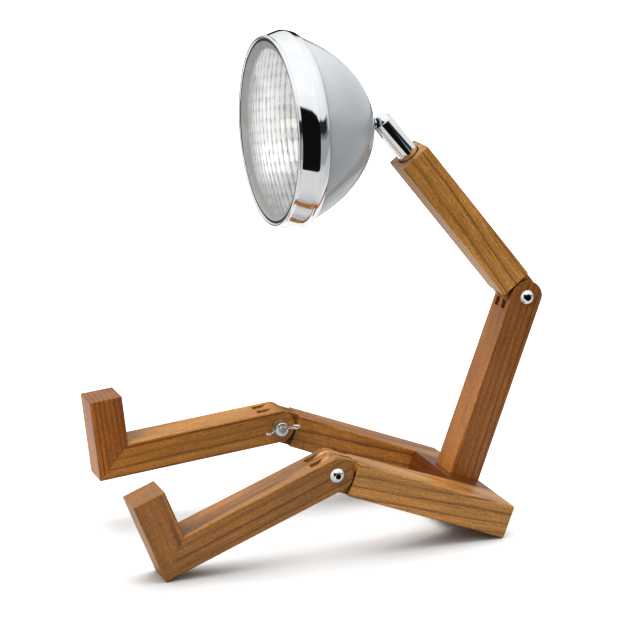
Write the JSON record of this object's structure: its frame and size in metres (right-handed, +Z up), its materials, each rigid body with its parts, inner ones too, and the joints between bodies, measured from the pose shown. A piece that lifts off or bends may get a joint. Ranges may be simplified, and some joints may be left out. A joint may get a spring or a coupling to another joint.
{
  "type": "desk lamp",
  "caption": "Seated robot shaped desk lamp of hinged hardwood bars with wing nut joints, and a chrome rimmed headlamp on a ball joint.",
  "frame": {"origin": "on the table, under the middle of the whole lamp's box", "axes": "+Z up, -Y the way the lamp faces, +X the lamp's own left"},
  "size_m": [0.1626, 0.3406, 0.3747],
  "materials": {
    "oiled_hardwood": "oiled satin",
    "beech_dowel": "matt",
    "bright_chrome": "polished chrome plate",
    "zinc_steel": "zinc plated",
    "black_rubber": "matt",
    "black_nylon": "matt",
    "ivory_nylon": "matt",
    "brass": "turned",
    "grey_enamel": "pale grey gloss enamel",
    "pressed_glass": "clear pressed glass with ribs",
    "polished_aluminium": "polished",
    "white_ceramic": "glazed white",
    "frosted_lamp": "frosted"
  },
  "bodies": {
    "base": {"thigh_left": "oiled_hardwood", "thigh_right": "oiled_hardwood", "seat_block": "oiled_hardwood", "seat_dowels": "beech_dowel", "spine": "oiled_hardwood", "spine_dowels": "beech_dowel", "spine_screw": "zinc_steel", "shoulder_bolt": "bright_chrome", "shoulder_washer": "zinc_steel"},
    "shoulder_nut": {"shoulder_wing_nut": "bright_chrome"},
    "leg_left": {"shin_left": "oiled_hardwood", "foot_left": "oiled_hardwood", "foot_dowels_left": "beech_dowel", "knee_bolt_left": "bright_chrome", "knee_washer_left": "zinc_steel"},
    "knee_nut_left": {"knee_wing_nut_left": "bright_chrome"},
    "leg_right": {"shin_right": "oiled_hardwood", "foot_right": "oiled_hardwood", "foot_dowels_right": "beech_dowel", "knee_bolt_right": "bright_chrome", "knee_washer_right": "zinc_steel"},
    "knee_nut_right": {"knee_wing_nut_right": "bright_chrome"},
    "neck_arm": {"neck_bar": "oiled_hardwood", "neck_bush": "black_nylon", "neck_lock_screw": "zinc_steel"},
    "socket": {"neck_tube": "bright_chrome", "ball_seat": "ivory_nylon", "seat_springs": "zinc_steel", "tube_plug": "brass"},
    "head": {"ball_stud": "bright_chrome", "stud_washer": "black_rubber", "stud_backing_washer": "zinc_steel", "stud_nut": "zinc_steel", "shade": "grey_enamel", "cord_grommet": "black_rubber", "bezel": "bright_chrome", "bezel_clips": "zinc_steel", "lens": "pressed_glass", "lens_gasket": "black_rubber", "reflector": "polished_aluminium", "holder_plate": "zinc_steel", "lamp_holder": "white_ceramic", "led_capsule": "frosted_lamp"}
  },
  "joints": [
    {"name": "knee_left", "type": "hinge", "parent": "base", "child": "leg_left", "pos_m": [0.0642, -0.01859, 0.06395], "axis": [1, 0, 0], "range_deg": [-72.6, 47.4]},
    {"name": "knee_right", "type": "hinge", "parent": "base", "child": "leg_right", "pos_m": [-0.0642, -0.01859, 0.06395], "axis": [1, 0, 0], "range_deg": [-57, 63]},
    {"name": "shoulder", "type": "hinge", "parent": "base", "child": "neck_arm", "pos_m": [0, 0.15776, 0.16442], "axis": [1, 0, 0], "range_deg": [-88.8, 31.2]},
    {"name": "neck_turn", "type": "hinge", "parent": "neck_arm", "child": "socket", "pos_m": [0, 0.04793, 0.30259], "axis": [0, -0.6222, 0.7828], "range_deg": [-150, 150]},
    {"name": "head_tilt", "type": "hinge", "parent": "socket", "child": "head", "pos_m": [0, 0.04793, 0.30259], "axis": [1, 0, 0], "range_deg": [-81.5, 38.5]},
    {"name": "shoulder_nut_turn", "type": "hinge", "parent": "base", "child": "shoulder_nut", "pos_m": [0, 0.15776, 0.16442], "axis": [1, 0, 0], "continuous": true},
    {"name": "knee_nut_left_turn", "type": "hinge", "parent": "leg_left", "child": "knee_nut_left", "pos_m": [0.0642, -0.01859, 0.06395], "axis": [1, 0, 0], "continuous": true},
    {"name": "knee_nut_right_turn", "type": "hinge", "parent": "leg_right", "child": "knee_nut_right", "pos_m": [-0.0642, -0.01859, 0.06395], "axis": [1, 0, 0], "continuous": true}
  ]
}
